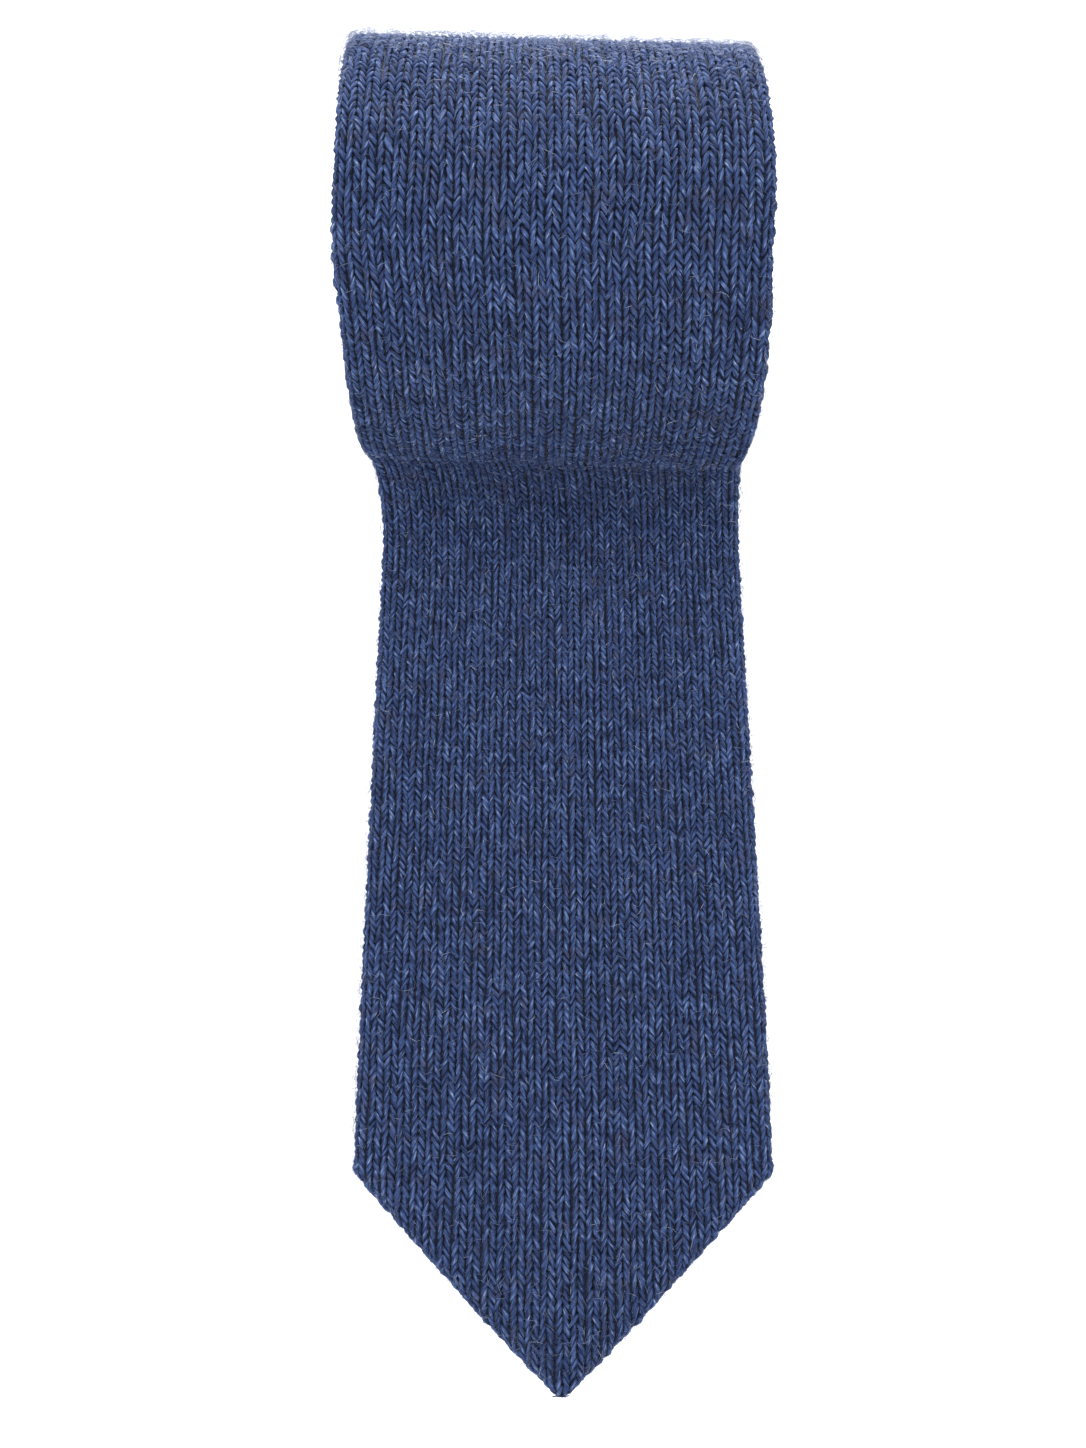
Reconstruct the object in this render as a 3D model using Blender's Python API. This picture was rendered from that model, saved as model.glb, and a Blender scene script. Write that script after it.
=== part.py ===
"""A knitted cashmere tie, rolled up from its narrow end, with the blade lying out in front.

The tie is one knitted strip: a panel folded round behind itself, so that it is two layers
thick, with the two back flaps meeting at an open seam down the middle of the back. Seen
from the side it runs from the point of the blade along the surface, turns up through a
tight bend, leans against the roll, passes over it and coils inwards to its narrow end.

Lengths are in metres. The blade points towards -Y, the roll is at +Y, X runs across the
tie and Z is up. The surface that the tie lies on is at z = 0.
"""
import math

import bmesh
import bpy

# Length and width of the tie
TIE_LENGTH = 1.45
BLADE_WIDTH = 0.080
FLAT_LENGTH = 0.1644

# The knitted cloth: two layers with a little air between them
LAYER_THICKNESS = 0.00153
LAYER_AIR = 0.0003
SEAM_OPENING = 0.0006

# The point of the blade
POINT_ANGLE = math.radians(90.0)
POINT_TIP_RADIUS = 0.0036
POINT_SHOULDER_RADIUS = 0.0050

# The bend where the blade turns up to the roll, measured on the face of the cloth
FOOT_RADIUS = 0.0134

# The roll
TURN_CLEARANCE = 0.0003
EYE_RADIUS = 0.0055
ROLL_SKEW = math.radians(-2.0)
ROLL_SIDE_SHIFT = 0.0025
TURN_WANDER = 0.0008
SIDE_WANDERS = 4.5
RESTING_FLAT = 0.00025

# How finely the strip is divided. The first section lies a small share of the tip's
# radius inside the tip, and the sections in the point lie closer together near it.
FLAT_STATIONS = 7
POINT_STATIONS = 9
POINT_CROWDING = 1.5
TIP_SHARE = 0.06
FOOT_STATIONS = 10
STATIONS_PER_TURN = 24
TURN_END_SHARE = 0.2
SETTLING_ROUNDS = 40

# Limits that keep the narrow sections at a tip in shape, as shares of half the width
ROUND_EDGE_LIMIT = 0.6
HOLLOW_LIMIT = 0.4

# Width along the tie: where, as a share of its length from the blade's point,
# and how wide, as a share of the blade's width
WIDTH_TABLE = (
    {"where": 0.03, "wide": 1.000},
    {"where": 0.17, "wide": 0.956},
    {"where": 0.30, "wide": 0.830},
    {"where": 0.42, "wide": 0.640},
    {"where": 0.52, "wide": 0.490},
    {"where": 0.66, "wide": 0.440},
    {"where": 0.82, "wide": 0.470},
    {"where": 0.93, "wide": 0.560},
    {"where": 1.00, "wide": 0.580},
)

CLOTH_COLOUR = (0.042, 0.064, 0.145, 1.0)
CLOTH_ROUGHNESS = 0.95
SMOOTH_ANGLE = math.radians(40.0)

THICKNESS = 2.0 * LAYER_THICKNESS + LAYER_AIR
TURN_PITCH = THICKNESS + TURN_CLEARANCE


def clear_scene():
    """Removes the objects that a new file starts with."""
    for thing in list(bpy.data.objects):
        bpy.data.objects.remove(thing, do_unlink=True)


def cloth_material():
    """Returns the plain blue wool of the strip."""
    material = bpy.data.materials.new("cashmere_knit")
    material.use_nodes = True
    shader = material.node_tree.nodes["Principled BSDF"]
    shader.inputs["Base Color"].default_value = CLOTH_COLOUR
    shader.inputs["Roughness"].default_value = CLOTH_ROUGHNESS
    shader.inputs["Metallic"].default_value = 0.0
    return material


def table_half_width(run):
    """Returns half the strip's width at a distance from the blade's point, points apart."""
    where = run / TIE_LENGTH
    if where <= WIDTH_TABLE[0]["where"]:
        return 0.5 * BLADE_WIDTH * WIDTH_TABLE[0]["wide"]
    for left, right in zip(WIDTH_TABLE, WIDTH_TABLE[1:]):
        if where <= right["where"]:
            share = (where - left["where"]) / (right["where"] - left["where"])
            eased = share * share * (3.0 - 2.0 * share)
            blend = 0.5 * (share + eased)
            wide = left["wide"] + (right["wide"] - left["wide"]) * blend
            return 0.5 * BLADE_WIDTH * wide
    return 0.5 * BLADE_WIDTH * WIDTH_TABLE[-1]["wide"]


def point_half_width(distance, full):
    """Returns half the width of a pointed end, at a distance from its tip.

    The two slanting edges meet in an arc at the tip, and each meets the side of the
    strip in an arc at the shoulder.
    """
    half_angle = 0.5 * POINT_ANGLE
    arc_end = POINT_TIP_RADIUS * (1.0 - math.sin(half_angle))
    if distance <= arc_end:
        return math.sqrt(max(POINT_TIP_RADIUS ** 2 - (POINT_TIP_RADIUS - distance) ** 2, 0.0))
    slant = POINT_TIP_RADIUS * math.cos(half_angle) + (distance - arc_end) * math.tan(half_angle)
    softness = POINT_SHOULDER_RADIUS * (1.0 - math.sin(half_angle))
    lead = slant - full
    return full + 0.5 * (lead - math.sqrt(lead * lead + softness * softness))


def point_depth(full):
    """Returns the length of a pointed end, from its tip to just past its shoulders."""
    return full / math.tan(0.5 * POINT_ANGLE) + POINT_SHOULDER_RADIUS


def half_width(run):
    """Returns half the strip's width at a distance along it from the blade's tip."""
    full = table_half_width(run)
    from_tail = TIE_LENGTH - run
    return min(point_half_width(run, full), point_half_width(from_tail, full))


class Route:
    """The strip's middle line, seen from the side, and the roll that it ends in."""

    def __init__(self):
        self.foot = FOOT_RADIUS + 0.5 * THICKNESS
        self.leave_angle = 0.5 * math.pi
        self.leave_radius = EYE_RADIUS + TURN_PITCH
        self.settle()

    def settle(self):
        """Finds the roll's size from the length left to coil, and where the blade leaves it."""
        eye = EYE_RADIUS + 0.5 * THICKNESS
        facet = math.cos(math.pi / STATIONS_PER_TURN)
        for _ in range(SETTLING_ROUNDS):
            coiled = TIE_LENGTH - FLAT_LENGTH - self.foot * self.leave_angle
            self.leave_radius = math.sqrt(eye * eye + coiled * TURN_PITCH / math.pi)
            below = self.coil_radius(-math.pi) + 0.5 * THICKNESS
            self.height = below * facet - RESTING_FLAT
            reach = self.leave_radius + self.foot
            rise = THICKNESS + FOOT_RADIUS - self.height
            self.leave_angle = math.acos(rise / reach)
        self.eye_angle = self.leave_angle - 2.0 * math.pi * (self.leave_radius - eye) / TURN_PITCH
        self.centre_y = (self.foot + self.leave_radius) * math.sin(self.leave_angle)

    def coil_radius(self, angle):
        """Returns the middle line's distance from the roll's centre.

        The angle is from the top of the roll, towards the blade, and falls by a full
        turn with each turn inwards.
        """
        return self.leave_radius - TURN_PITCH * (self.leave_angle - angle) / (2.0 * math.pi)

    def flat_station(self, run):
        """Returns a station on the surface, at a distance from the tip."""
        return {"run": run, "y": run - FLAT_LENGTH, "z": 0.5 * THICKNESS, "lean": 0.0, "rolled": 0.0}

    def foot_station(self, turned):
        """Returns a station in the bend, where the strip has turned up by an angle."""
        return {
            "run": FLAT_LENGTH + self.foot * turned,
            "y": self.foot * math.sin(turned),
            "z": 0.5 * THICKNESS + self.foot * (1.0 - math.cos(turned)),
            "lean": turned,
            "rolled": turned / self.leave_angle,
        }

    def coil_station(self, angle):
        """Returns a station on the roll."""
        radius = self.coil_radius(angle)
        swept = self.leave_angle - angle
        start = FLAT_LENGTH + self.foot * self.leave_angle
        return {
            "run": start + 0.5 * (self.leave_radius + radius) * swept,
            "y": self.centre_y - radius * math.sin(angle),
            "z": self.height + radius * math.cos(angle),
            "lean": angle,
            "rolled": 1.0,
        }

    def stations(self):
        """Returns the stations in order, from the blade's tip to the narrow end."""
        full = 0.5 * BLADE_WIDTH
        depth = point_depth(full)
        tip = POINT_TIP_RADIUS * TIP_SHARE
        runs = []
        for i in range(POINT_STATIONS + 1):
            runs.append(tip + (depth - tip) * (i / POINT_STATIONS) ** POINT_CROWDING)
        straight = FLAT_LENGTH - depth
        runs += [depth + straight * i / FLAT_STATIONS for i in range(1, FLAT_STATIONS + 1)]
        found = [self.flat_station(run) for run in runs]
        for i in range(1, FOOT_STATIONS + 1):
            found.append(self.foot_station(self.leave_angle * i / FOOT_STATIONS))
        found += [self.coil_station(angle) for angle in self.coil_angles()]
        return found

    def coil_angles(self):
        """Returns the roll's station angles, level at the top and the bottom of the roll."""
        step = 2.0 * math.pi / STATIONS_PER_TURN
        tail_depth = point_depth(table_half_width(TIE_LENGTH))
        eye = EYE_RADIUS + 0.5 * THICKNESS
        clear = self.leave_angle - TURN_END_SHARE * step
        angle = (math.floor(clear / step - 0.5) + 0.5) * step
        angles = []
        while angle > self.eye_angle:
            angles.append(angle)
            near_tail = angle - self.eye_angle < tail_depth / eye
            angle -= 0.5 * step if near_tail else step
        last = self.eye_angle + POINT_TIP_RADIUS * TIP_SHARE / eye
        return [angle for angle in angles if angle > last + TURN_END_SHARE * step] + [last]


def section(half):
    """Returns the strip's cross-section as (across, out) points, for half its width.

    The points run round the outside from the right lip of the seam to the left one, and
    back round the inside. Out is towards the face of the cloth.
    """
    skin = 0.5 * THICKNESS
    edge = min(skin, ROUND_EDGE_LIMIT * half)
    air = 0.5 * LAYER_AIR
    hollow = max(half - LAYER_THICKNESS, HOLLOW_LIMIT * half)
    lip = min(0.5 * SEAM_OPENING, 0.5 * hollow)
    slope = math.sqrt(0.5)
    right = [
        (lip, -skin),
        (half - edge, -skin),
        (half - edge + edge * slope, -skin * slope),
        (half, 0.0),
        (half - edge + edge * slope, skin * slope),
        (half - edge, skin),
    ]
    inner_right = [(hollow, air), (hollow, -air), (lip, -air)]
    left = [(-across, out) for across, out in reversed(right)]
    inner_left = [(-across, out) for across, out in reversed(inner_right)]
    return right + left + inner_left + inner_right


def side_shift(station):
    """Returns how far the strip has drifted sideways at a station."""
    drift = -ROLL_SIDE_SHIFT * station["rolled"] ** 2
    coiled = max(station["run"] - FLAT_LENGTH, 0.0) / (TIE_LENGTH - FLAT_LENGTH)
    return drift + TURN_WANDER * math.sin(2.0 * math.pi * SIDE_WANDERS * coiled)


def place(station, across, out):
    """Returns the point of a section at its station, on a roll that lies a little askew."""
    x = across + side_shift(station)
    y = station["y"] - out * math.sin(station["lean"])
    z = max(station["z"] + out * math.cos(station["lean"]), 0.0)
    return (x, y + x * math.tan(ROLL_SKEW) * station["rolled"], z)


def strip_mesh(route):
    """Returns the closed mesh of the whole strip."""
    shape = bmesh.new()
    rings = []
    for station in route.stations():
        points = section(half_width(station["run"]))
        rings.append([shape.verts.new(place(station, *point)) for point in points])
    for ring, following in zip(rings, rings[1:]):
        for i in range(len(ring)):
            j = (i + 1) % len(ring)
            shape.faces.new((ring[i], following[i], following[j], ring[j]))
    shape.faces.new(rings[0])
    shape.faces.new(list(reversed(rings[-1])))
    bmesh.ops.recalc_face_normals(shape, faces=shape.faces)
    mesh = bpy.data.meshes.new("knitted_tie")
    shape.to_mesh(mesh)
    shape.free()
    return mesh


def centre_over_origin(mesh):
    """Moves the mesh so that the middle of its box stands over the origin, base at z = 0."""
    points = [vertex.co.copy() for vertex in mesh.vertices]
    middle_x = 0.5 * (min(p.x for p in points) + max(p.x for p in points))
    middle_y = 0.5 * (min(p.y for p in points) + max(p.y for p in points))
    base = min(p.z for p in points)
    for vertex in mesh.vertices:
        vertex.co.x -= middle_x
        vertex.co.y -= middle_y
        vertex.co.z -= base


def build_tie():
    """Builds the tie as one object."""
    mesh = strip_mesh(Route())
    centre_over_origin(mesh)
    mesh.shade_smooth()
    mesh.set_sharp_from_angle(angle=SMOOTH_ANGLE)
    tie = bpy.data.objects.new("knitted_tie", mesh)
    tie.data.materials.append(cloth_material())
    bpy.context.collection.objects.link(tie)
    return tie


clear_scene()
build_tie()
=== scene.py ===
"""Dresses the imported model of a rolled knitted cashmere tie.

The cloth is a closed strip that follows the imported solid. On it lie the stitches of the knit,
each leg of each stitch a small arched grain of yarn, and over them a light fuzz of fibres.
Lengths are in metres. The blade points towards -Y, the roll is at +Y and Z is up.
"""
import logging
import math
from dataclasses import dataclass
from enum import Enum

import bpy
import numpy as np
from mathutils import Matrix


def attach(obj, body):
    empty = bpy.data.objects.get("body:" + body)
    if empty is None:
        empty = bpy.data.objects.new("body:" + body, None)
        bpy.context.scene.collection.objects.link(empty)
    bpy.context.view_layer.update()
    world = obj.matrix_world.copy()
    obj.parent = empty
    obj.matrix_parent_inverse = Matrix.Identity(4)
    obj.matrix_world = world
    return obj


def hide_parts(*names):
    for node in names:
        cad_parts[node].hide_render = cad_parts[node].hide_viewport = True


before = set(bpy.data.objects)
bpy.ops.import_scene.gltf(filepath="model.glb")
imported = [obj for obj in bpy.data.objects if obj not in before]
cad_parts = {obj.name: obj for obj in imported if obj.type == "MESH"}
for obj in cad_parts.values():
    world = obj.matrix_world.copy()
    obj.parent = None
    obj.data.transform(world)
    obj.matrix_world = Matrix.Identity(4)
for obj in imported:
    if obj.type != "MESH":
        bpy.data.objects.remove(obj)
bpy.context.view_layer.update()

log = logging.getLogger("knitted_tie")

Triple = tuple[float, float, float]
Array = np.ndarray
Socket = bpy.types.NodeSocket
Piece = bpy.types.Object


class Stretch(Enum):
    """A stretch of the tie's length, from and to these distances from the tip."""

    POINT_AND_BLADE = (0.0, 0.099)
    BLADE_AND_FOOT = (0.099, 0.200)
    FRONT_OF_ROLL = (0.200, 0.300)
    BACK_OF_ROLL = (0.300, 0.440)


@dataclass(frozen=True)
class TieSizes:
    """The tie's sizes: those of its solid, and a sharper tip and small strays as in the photo."""

    length: float = 1.45
    blade_width: float = 0.080
    flat_length: float = 0.1644
    layer: float = 0.00153
    layer_air: float = 0.0003
    seam_opening: float = 0.0006
    point_angle: float = math.radians(90.0)
    tip_radius: float = 0.0036
    shoulder_radius: float = 0.0050
    foot_radius: float = 0.0134
    turn_clearance: float = 0.0003
    eye_radius: float = 0.0055
    roll_skew: float = math.radians(-2.0)
    roll_side_shift: float = 0.0025
    turn_wander: float = 0.0008
    side_wanders: float = 4.5
    resting_flat: float = 0.00025
    sides_per_turn: int = 24
    round_edge_limit: float = 0.6
    hollow_limit: float = 0.4
    sharper_tip: float = 0.6
    sharper_length: float = 0.012
    tip_stray: float = -0.0005
    tip_stray_run: float = 0.035
    turn_stray: float = -0.0006
    turn_stray_run: float = 0.247
    turn_stray_length: float = 0.009
    middle_x: float = 0.000358
    middle_y: float = 0.0372717
    widths: tuple[tuple[float, float], ...] = (
        (0.03, 1.000), (0.17, 0.956), (0.30, 0.830), (0.42, 0.640), (0.52, 0.490),
        (0.66, 0.440), (0.82, 0.470), (0.93, 0.560), (1.00, 0.580),
    )

    @property
    def thickness(self) -> float:
        """The strip's whole thickness."""
        return 2.0 * self.layer + self.layer_air

    @property
    def turn_pitch(self) -> float:
        """The distance between the middle lines of two turns of the roll."""
        return self.thickness + self.turn_clearance

    def table_half_width(self, run: Array) -> Array:
        """Half the strip's width along it, as if it had no points.

        Args:
            run: Distances from the blade's tip.

        Returns:
            Half the width at each distance.
        """
        where = np.clip(run / self.length, 0.0, 1.0)
        places = np.array([place for place, _ in self.widths])
        wides = np.array([wide for _, wide in self.widths])
        row = np.clip(np.searchsorted(places, where) - 1, 0, len(places) - 2)
        share = np.clip((where - places[row]) / (places[row + 1] - places[row]), 0.0, 1.0)
        eased = share * share * (3.0 - 2.0 * share)
        wide = wides[row] + (wides[row + 1] - wides[row]) * 0.5 * (share + eased)
        return 0.5 * self.blade_width * wide

    def point_half_width(self, distance: Array, full: Array) -> Array:
        """Half the width of a pointed end.

        Args:
            distance: Distances from the end's tip.
            full: Half the strip's width there, without the point.

        Returns:
            Half the width at each distance, with the tip and the shoulders rounded.
        """
        half_angle = 0.5 * self.point_angle
        blunt = np.clip(distance / self.sharper_length, 0.0, 1.0)
        radius = self.tip_radius * (self.sharper_tip + (1.0 - self.sharper_tip) * blunt)
        arc_end = radius * (1.0 - math.sin(half_angle))
        inside = np.clip(distance, 0.0, arc_end)
        arc = np.sqrt(np.maximum(radius ** 2 - (radius - inside) ** 2, 0.0))
        slant = radius * math.cos(half_angle) + (distance - arc_end) * math.tan(half_angle)
        softness = self.shoulder_radius * (1.0 - math.sin(half_angle))
        lead = slant - full
        edge = full + 0.5 * (lead - np.sqrt(lead * lead + softness * softness))
        return np.where(distance <= arc_end, arc, edge)

    def half_width(self, run: Array) -> Array:
        """Half the strip's width along it, points and all.

        Args:
            run: Distances from the blade's tip.

        Returns:
            Half the width at each distance.
        """
        full = self.table_half_width(run)
        blade = self.point_half_width(run, full)
        tail = self.point_half_width(self.length - run, full)
        return np.minimum(blade, tail)


class TieRoute:
    """The strip's middle line, seen from the side: along the surface, up and into the roll."""

    def __init__(self, sizes: TieSizes) -> None:
        """Settles the roll's size and the angle at which the blade leaves it, step by step."""
        self.sizes = sizes
        self.foot = sizes.foot_radius + 0.5 * sizes.thickness
        self.leave_angle = 0.5 * math.pi
        self.leave_radius = sizes.eye_radius + sizes.turn_pitch
        self.height = self.leave_radius
        for _ in range(40):
            self.settle()
        self.centre_y = (self.foot + self.leave_radius) * math.sin(self.leave_angle)
        self.coil_start = sizes.flat_length + self.foot * self.leave_angle

    def settle(self) -> None:
        """Takes one more step towards the roll that holds the length left to coil."""
        sizes = self.sizes
        eye = sizes.eye_radius + 0.5 * sizes.thickness
        coiled = sizes.length - sizes.flat_length - self.foot * self.leave_angle
        self.leave_radius = math.sqrt(eye * eye + coiled * sizes.turn_pitch / math.pi)
        turned = self.leave_angle + math.pi
        below = self.leave_radius - sizes.turn_pitch * turned / (2.0 * math.pi)
        facet = math.cos(math.pi / sizes.sides_per_turn)
        self.height = (below + 0.5 * sizes.thickness) * facet - sizes.resting_flat
        rise = sizes.thickness + sizes.foot_radius - self.height
        self.leave_angle = math.acos(rise / (self.leave_radius + self.foot))

    def middle(self, run: Array) -> tuple[Array, Array, Array, Array]:
        """The middle line's place and lean.

        Args:
            run: Distances from the blade's tip.

        Returns:
            The y, the z, the lean of the strip's outward side from straight up, and how far
            the strip has turned into the roll, from 0 to 1.
        """
        sizes = self.sizes
        skin = 0.5 * sizes.thickness
        turned = np.clip((run - sizes.flat_length) / self.foot, 0.0, self.leave_angle)
        coiled = np.clip(run - self.coil_start, 0.0, None)
        inner = np.maximum(self.leave_radius ** 2 - sizes.turn_pitch * coiled / math.pi, 0.0)
        radius = np.sqrt(inner)
        angle = self.leave_angle - 2.0 * math.pi * (self.leave_radius - radius) / sizes.turn_pitch
        on_coil = run > self.coil_start
        y = np.where(
            on_coil,
            self.centre_y - radius * np.sin(angle),
            np.minimum(run - sizes.flat_length, 0.0) + self.foot * np.sin(turned),
        )
        z = np.where(
            on_coil,
            self.height + radius * np.cos(angle),
            skin + self.foot * (1.0 - np.cos(turned)),
        )
        return y, z, np.where(on_coil, angle, turned), turned / self.leave_angle

    def place(self, run: Array, across: Array, out: Array) -> Array:
        """Points of the strip in space.

        Args:
            run: Distances from the blade's tip.
            across: Distances from the strip's middle, along X.
            out: Distances from the middle line, towards the face of the cloth.

        Returns:
            The points, in the last axis of the array.
        """
        sizes = self.sizes
        y, z, lean, rolled = self.middle(run)
        coiled = np.clip(run - sizes.flat_length, 0.0, None) / (sizes.length - sizes.flat_length)
        wander = sizes.turn_wander * np.sin(2.0 * math.pi * sizes.side_wanders * coiled)
        tip_stray = sizes.tip_stray * np.clip(1.0 - run / sizes.tip_stray_run, 0.0, 1.0)
        near = (run - sizes.turn_stray_run) / sizes.turn_stray_length
        turn_stray = sizes.turn_stray * np.exp(-near * near)
        x = across - sizes.roll_side_shift * rolled ** 2 + wander + tip_stray + turn_stray
        y = y - out * np.sin(lean) + x * math.tan(sizes.roll_skew) * rolled
        z = np.maximum(z + out * np.cos(lean), 0.0)
        return np.stack((x + sizes.middle_x, y + sizes.middle_y, z), axis=-1)


@dataclass(frozen=True)
class Knit:
    """The gauge of the knit, and where a stitch lies on the strip."""

    sizes: TieSizes
    route: TieRoute
    wales_across: float = 28.8
    course: float = 0.001484
    tip_rounding: float = 0.0017

    def section(self, run: Array) -> tuple[Array, ...]:
        """The shape of the strip's round edges.

        Args:
            run: Distances from the blade's tip.

        Returns:
            Half the flat width, the edge's reach across, half the thickness, and the radius
            that the edge's arc length is measured on.
        """
        half = np.maximum(self.sizes.half_width(np.maximum(run, 0.00005)), 0.0001)
        near = np.clip(run / self.tip_rounding, 0.03, 1.0)
        skin = 0.5 * self.sizes.thickness * np.sqrt(1.0 - (1.0 - near) ** 2)
        edge = np.minimum(skin, self.sizes.round_edge_limit * half)
        return half - edge, edge, skin, 0.5 * (edge + skin)

    def surface(self, along: Array, run: Array, height: Array) -> Array:
        """Points on or over the cloth.

        Args:
            along: Distances round the strip from the middle of its face, to either side.
            run: Distances from the blade's tip.
            height: Distances over the solid's skin.

        Returns:
            The points, in the last axis of the array.
        """
        flat, edge, skin, arc = self.section(run)
        reach = np.abs(along)
        turn = np.clip((reach - flat) / arc, 0.0, math.pi)
        behind = np.maximum(reach - flat - math.pi * arc, 0.0)
        across = np.minimum(reach, flat) - behind + (edge + height) * np.sin(turn)
        return self.route.place(run, np.sign(along) * across, (skin + height) * np.cos(turn))

    def edge_turn(self, along: Array, run: Array) -> Array:
        """How far round the edge a place is, from 0 on the face to pi on the back."""
        flat, _, _, arc = self.section(run)
        return np.clip((np.abs(along) - flat) / arc, 0.0, math.pi)

    def wale_pitch(self, run: Array) -> Array:
        """The width of one wale at each distance from the tip."""
        return 2.0 * self.sizes.table_half_width(run) / self.wales_across


class Nodes:
    """A material's nodes, made and joined in plain steps."""

    def __init__(self, name: str) -> None:
        """Starts a material with its shader."""
        self.material = bpy.data.materials.new(name)
        self.material.use_nodes = True
        self.tree = self.material.node_tree
        self.shader = self.tree.nodes["Principled BSDF"]

    def add(self, kind: str, inputs: dict | None = None, **settings: object) -> bpy.types.Node:
        """Adds a node.

        Args:
            kind: The node's type.
            inputs: Values or output sockets for its inputs, by name or number.
            settings: Values for the node's own settings.

        Returns:
            The node.
        """
        node = self.tree.nodes.new(kind)
        for key, value in settings.items():
            setattr(node, key, value)
        for key, value in (inputs or {}).items():
            self.feed(node.inputs[key], value)
        return node

    def feed(self, socket: Socket, value: object) -> None:
        """Gives a socket its value, or joins it to another node's output."""
        if isinstance(value, Socket):
            self.tree.links.new(value, socket)
        else:
            socket.default_value = value

    def math(self, operation: str, *values: object) -> Socket:
        """Returns the result of a sum on numbers or sockets."""
        inputs = dict(enumerate(values))
        return self.add("ShaderNodeMath", inputs, operation=operation).outputs[0]

    def ramp(self, value: Socket, *stops: tuple[float, tuple]) -> Socket:
        """A ramp of colours.

        Args:
            value: The socket that runs along the ramp.
            stops: Each stop's place and its colour.

        Returns:
            The ramp's colour socket.
        """
        node = self.add("ShaderNodeValToRGB", {"Fac": value})
        elements = node.color_ramp.elements
        while len(elements) < len(stops):
            elements.new(0.5)
        for element, (place, colour) in zip(elements, stops):
            element.position = place
            element.color = (*colour, 1.0)
        return node.outputs["Color"]

    def mix(self, share: object, first: object, second: object, how: str = "MIX") -> Socket:
        """Mixes two colours.

        Args:
            share: How much of the second shows.
            first: The first colour.
            second: The second colour.
            how: The way they are blended.

        Returns:
            The mixed colour socket.
        """
        node = self.add("ShaderNodeMix", data_type="RGBA", blend_type=how)
        self.feed(node.inputs["Factor"], share)
        self.feed(node.inputs["A"], first if isinstance(first, Socket) else (*first, 1.0))
        self.feed(node.inputs["B"], second if isinstance(second, Socket) else (*second, 1.0))
        return node.outputs["Result"]

    def noise(self, place: Socket, detail: float = 2.0) -> Socket:
        """Returns a noise over a place, whose own stretch sets its scale."""
        inputs = {"Vector": place, "Scale": 1.0, "Detail": detail}
        return self.add("ShaderNodeTexNoise", inputs).outputs["Fac"]

    def bump(self, height: Socket, strength: float, distance: float) -> Socket:
        """Returns the normal of a relief of that depth."""
        inputs = {"Height": height, "Strength": strength, "Distance": distance}
        return self.add("ShaderNodeBump", inputs).outputs["Normal"]

    def finish(self, inputs: dict) -> bpy.types.Material:
        """Feeds the shader's inputs by name and returns the material."""
        for key, value in inputs.items():
            self.feed(self.shader.inputs[key], value)
        return self.material

    def stretched(self, scale: Triple) -> Socket:
        """Returns the piece's own coordinates, stretched along each axis."""
        place = self.add("ShaderNodeTexCoord").outputs["Object"]
        return self.add("ShaderNodeMapping", {"Vector": place, "Scale": scale}).outputs["Vector"]


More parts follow.
